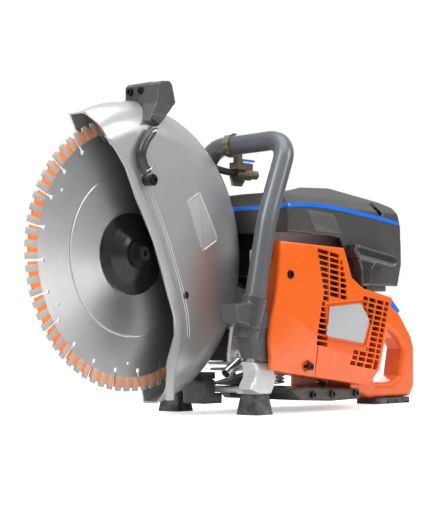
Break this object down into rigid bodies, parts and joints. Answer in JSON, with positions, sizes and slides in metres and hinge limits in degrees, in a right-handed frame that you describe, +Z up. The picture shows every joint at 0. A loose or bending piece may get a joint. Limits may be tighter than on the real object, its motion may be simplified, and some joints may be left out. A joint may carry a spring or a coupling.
{
  "type": "concrete cut-off saw",
  "caption": "Petrol hand-held concrete cutter with a segmented disc under a turning guard, tubular front handle, rear D-grip, belt drive, pull starter and water hoses.",
  "frame": {"origin": "middle of the machine's box on the ground it stands on", "axes": "+X forward towards the blade, +Y to the machine's left (the starter side), +Z up"},
  "size_m": [0.765, 0.205, 0.4333],
  "materials": {
    "guard_alloy": "satin silver coating",
    "blade_steel": "brushed",
    "segment_matrix": "sintered, part painted",
    "black_steel": "black oxide",
    "machined_steel": "machined",
    "cast_alloy": "as cast",
    "orange_plastic": "gloss",
    "dark_plastic": "fine grain",
    "grey_plastic": "fine grain",
    "blue_plastic": "gloss",
    "tube_coating": "satin",
    "foot_rubber": "moulded",
    "hose_rubber": "smooth",
    "belt_rubber": "ribbed",
    "zinc_plate": "zinc plated",
    "brass_fitting": "plain",
    "badge_plate": "satin",
    "filter_felt": "pleated",
    "rope_fibre": "braided"
  },
  "bodies": {
    "root": {"starter_rope": "rope_fibre", "crankcase_left": "cast_alloy", "crankcase_right": "cast_alloy", "cylinder": "cast_alloy", "piston": "machined_steel", "connecting_rod": "machined_steel", "muffler": "black_steel", "carburettor": "cast_alloy", "air_filter": "filter_felt", "spark_plug": "machined_steel", "ignition_coil": "dark_plastic", "cutting_arm": "cast_alloy", "belt_cover": "dark_plastic", "drive_belt": "belt_rubber", "ball_bearings": "machined_steel", "front_handle": "tube_coating", "handle_collar": "grey_plastic", "front_bracket": "cast_alloy", "front_feet": "foot_rubber", "rear_foot": "foot_rubber", "top_cover": "dark_plastic", "cover_stripe": "blue_plastic", "starter_housing": "orange_plastic", "starter_badge": "badge_plate", "cover_screws": "black_steel", "rear_handle": "orange_plastic", "water_valve_body": "brass_fitting", "supply_hose": "hose_rubber", "cart_tube": "zinc_plate", "bottom_tray": "dark_plastic", "vibration_springs": "machined_steel", "front_bumper": "grey_plastic", "bumper_ring": "foot_rubber"},
    "guard": {"guard_shell": "guard_alloy", "guard_clamp": "cast_alloy", "guard_handle": "grey_plastic", "guard_screws": "black_steel", "guard_hoses": "hose_rubber", "hose_fittings": "black_steel", "guard_plate": "badge_plate"},
    "blade": {"blade_core": "blade_steel", "blade_segments": "segment_matrix", "outer_flange": "black_steel", "inner_flange": "black_steel", "blade_bolt": "black_steel", "blade_shaft": "machined_steel", "driven_pulley": "machined_steel"},
    "drum": {"clutch_drum": "machined_steel"},
    "crank": {"crankshaft": "machined_steel", "flywheel": "cast_alloy", "clutch_hub": "machined_steel"},
    "rope_wheel": {"rope_pulley": "dark_plastic"},
    "grip": {"starter_grip": "dark_plastic"},
    "trigger": {"throttle_trigger": "dark_plastic"},
    "lockout": {"throttle_lockout": "blue_plastic"},
    "choke": {"choke_lever": "blue_plastic"},
    "stop": {"stop_switch": "dark_plastic"},
    "decompressor": {"decompression_valve": "blue_plastic"},
    "tap": {"tap_lever": "blue_plastic"},
    "filler_cap": {"fuel_cap": "dark_plastic"}
  },
  "joints": [
    {"name": "guard_turn", "type": "hinge", "parent": "root", "child": "guard", "pos_m": [0.2075, -0.0215, 0.2068], "axis": [0, 1, 0], "range_deg": [0, 55]},
    {"name": "blade_spin", "type": "hinge", "parent": "root", "child": "blade", "pos_m": [0.2075, -0.0215, 0.2068], "axis": [0, 1, 0], "continuous": true},
    {"name": "drum_spin", "type": "hinge", "parent": "root", "child": "drum", "pos_m": [-0.0845, -0.0215, 0.1208], "axis": [0, 1, 0], "continuous": true},
    {"name": "crank_spin", "type": "hinge", "parent": "root", "child": "crank", "pos_m": [-0.0845, -0.0215, 0.1208], "axis": [0, 1, 0], "continuous": true},
    {"name": "starter_pull", "type": "slide", "parent": "root", "child": "grip", "axis": [0, 0, 1], "range_m": [0, 0.6], "stiffness_N_per_m": 20, "springref_m": -0.25, "deforming": ["starter_rope"]},
    {"name": "rope_wheel_spin", "type": "hinge", "parent": "root", "child": "rope_wheel", "pos_m": [-0.0845, -0.0215, 0.1208], "axis": [0, 1, 0], "range_deg": [0, 1150]},
    {"name": "throttle_trigger", "type": "hinge", "parent": "root", "child": "trigger", "pos_m": [-0.2885, -0.0215, 0.1328], "axis": [0, 1, 0], "range_deg": [0, 14], "stiffness_Nm_per_rad": 0.6, "springref_deg": -17.19},
    {"name": "throttle_lockout", "type": "hinge", "parent": "root", "child": "lockout", "pos_m": [-0.3295, -0.0215, 0.1428], "axis": [0, -1, 0], "range_deg": [0, 10], "stiffness_Nm_per_rad": 0.6, "springref_deg": -17.19},
    {"name": "choke_turn", "type": "hinge", "parent": "root", "child": "choke", "pos_m": [-0.1925, -0.0215, 0.1908], "axis": [0, 1, 0], "range_deg": [0, 60]},
    {"name": "stop_slide", "type": "slide", "parent": "root", "child": "stop", "axis": [-1, 0, 0], "range_m": [0, 0.006]},
    {"name": "decompression_press", "type": "slide", "parent": "root", "child": "decompressor", "axis": [-0.3099, -0.3099, -0.8988], "range_m": [0, 0.002]},
    {"name": "tap_turn", "type": "hinge", "parent": "root", "child": "tap", "pos_m": [-0.0185, -0.0335, 0.2068], "axis": [0, 0, 1], "range_deg": [0, 90]},
    {"name": "fuel_cap_turn", "type": "hinge", "parent": "root", "child": "filler_cap", "pos_m": [-0.2075, -0.0215, 0.0868], "axis": [0, 1, 0], "range_deg": [0, 90]}
  ],
  "couplings": [
    {"joint": "drum_spin", "follows": "blade_spin", "ratio": 1.9649},
    {"joint": "rope_wheel_spin", "follows": "starter_pull", "rad_per_m": 33.333}
  ]
}
